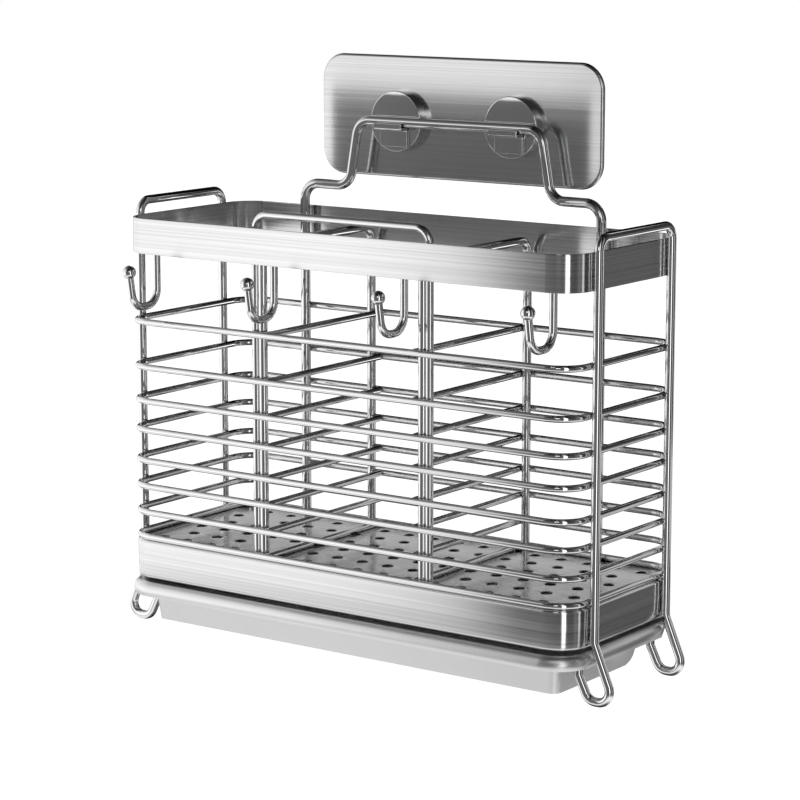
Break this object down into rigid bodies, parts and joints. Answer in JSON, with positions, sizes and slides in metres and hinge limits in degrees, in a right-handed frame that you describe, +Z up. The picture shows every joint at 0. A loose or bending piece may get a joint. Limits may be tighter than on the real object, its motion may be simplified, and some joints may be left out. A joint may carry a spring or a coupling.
{
  "type": "chopstick holder",
  "caption": "Wall-hung stainless wire basket for chopsticks and utensils, with dividers inside, hooks along the front, an adhesive wall plate and a pull-out drip tray.",
  "frame": {"origin": "centre of the adhesive pad's back face, where it meets the wall", "axes": "+Z up, +Y into the wall, so the front of the basket faces -Y; +X to the right seen from the front"},
  "size_m": [0.2676, 0.1161, 0.2648],
  "materials": {
    "brushed_sheet": "brushed along its length",
    "satin_sheet": "fine satin, pressed sheet",
    "polished_sheet": "polished",
    "polished_wire": "electropolished round wire",
    "adhesive_foam": "matt acrylic foam"
  },
  "bodies": {
    "wall_mount": {"adhesive_pad": "adhesive_foam", "wall_plate": "brushed_sheet", "left_hook_boss": "polished_sheet", "right_hook_boss": "polished_sheet", "left_hook_tongue": "polished_sheet", "right_hook_tongue": "polished_sheet"},
    "basket": {"hanger_wire": "polished_wire", "top_band": "brushed_sheet", "wire_ring_1": "polished_wire", "wire_ring_2": "polished_wire", "wire_ring_3": "polished_wire", "wire_ring_4": "polished_wire", "wire_ring_5": "polished_wire", "wire_ring_6": "polished_wire", "wire_ring_7": "polished_wire", "wire_ring_8": "polished_wire", "left_side_frame": "polished_wire", "right_side_frame": "polished_wire", "front_guard": "polished_wire", "left_divider_arch": "polished_wire", "right_divider_arch": "polished_wire", "left_divider_rungs": "polished_wire", "right_divider_rungs": "polished_wire", "utensil_hook_1": "polished_wire", "utensil_hook_2": "polished_wire", "utensil_hook_3": "polished_wire", "utensil_hook_4": "polished_wire", "bottom_pan": "brushed_sheet"},
    "tray": {"drip_tray": "satin_sheet"}
  },
  "joints": [
    {"name": "basket_lift", "type": "slide", "parent": "wall_mount", "child": "basket", "axis": [0, 0, 1], "range_m": [0, 0.012]},
    {"name": "tray_slide", "type": "slide", "parent": "basket", "child": "tray", "axis": [0, -1, 0], "range_m": [0, 0.11]}
  ]
}
